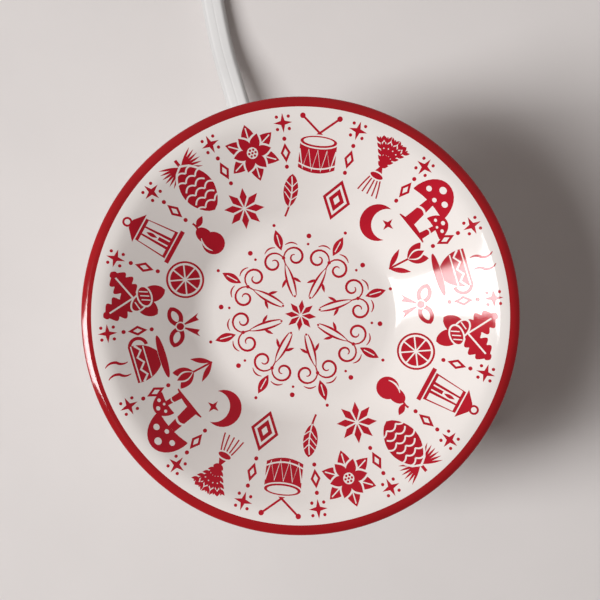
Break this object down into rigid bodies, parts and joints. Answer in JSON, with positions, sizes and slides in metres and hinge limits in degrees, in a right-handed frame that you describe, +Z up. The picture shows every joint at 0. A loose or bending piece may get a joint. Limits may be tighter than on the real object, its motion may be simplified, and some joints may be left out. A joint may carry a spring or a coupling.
{
  "type": "wax melt warmer",
  "caption": "Round electric wax melt warmer: a shallow glazed dish lifts off a hot plate in a waisted ceramic body on a plastic base, with a rocker switch and a flat mains lead.",
  "frame": {"origin": "on the floor under the middle of the dish", "axes": "+Z up, +Y to the back, where the lead leaves, and -Y to the front"},
  "size_m": [0.13, 0.3714, 0.0819],
  "materials": {
    "dish_glaze": "white glaze with red print and a red lip",
    "body_glaze": "white glaze",
    "plate_metal": "turned",
    "steel": "zinc plated",
    "shield_metal": "rolled",
    "brass": "tinned",
    "silicone": "satin",
    "foot_rubber": "matte",
    "heater_ceramic": "bare",
    "mica": "layered",
    "phenolic": "moulded",
    "glass_sleeve": "braided",
    "base_plastic": "moulded, satin",
    "switch_plastic": "moulded",
    "rocker_plastic": "moulded, glossy",
    "wire_black": "satin",
    "wire_white": "satin",
    "lead_vinyl": "satin vinyl",
    "plug_vinyl": "moulded vinyl",
    "tie_vinyl": "satin"
  },
  "bodies": {
    "base": {"body_shell": "body_glaze", "hot_plate": "plate_metal", "plate_gasket": "silicone", "seat_ring": "silicone", "heating_element": "heater_ceramic", "insulator_pad": "mica", "clamp_plate": "steel", "plate_studs": "steel", "upper_standoffs": "steel", "heat_shield": "shield_metal", "lower_standoffs": "steel", "base_pan": "base_plastic", "base_screws": "steel", "rubber_feet": "foot_rubber", "thermostat": "phenolic", "thermostat_tabs": "brass", "bracket_screws": "steel", "thermal_fuse": "shield_metal", "fuse_sleeve": "glass_sleeve", "fuse_clip": "steel", "element_pins": "steel", "pin_bushings": "heater_ceramic", "switch_body": "switch_plastic", "switch_terminals": "brass", "spade_connectors": "brass", "live_wire": "wire_black", "switched_wire": "wire_black", "fuse_wire": "wire_black", "element_wire": "wire_black", "neutral_wire": "wire_white", "cord_gland": "plug_vinyl", "cord_inner": "lead_vinyl", "cord_clamp": "base_plastic", "clamp_screws": "steel", "cord_lead": "lead_vinyl", "cord_coil": "lead_vinyl", "cord_tail": "lead_vinyl", "coil_tie": "tie_vinyl", "plug_body": "plug_vinyl", "plug_blades": "brass"},
    "dish": {"wax_dish": "dish_glaze"},
    "rocker": {"switch_rocker": "rocker_plastic"}
  },
  "joints": [
    {"name": "dish_lift", "type": "slide", "parent": "base", "child": "dish", "axis": [0, 0, 1], "range_m": [0, 0.04]},
    {"name": "rocker_tilt", "type": "hinge", "parent": "base", "child": "rocker", "pos_m": [0.03857, -0.04596, 0.011], "axis": [0, 0, 1], "range_deg": [0, 18]}
  ]
}
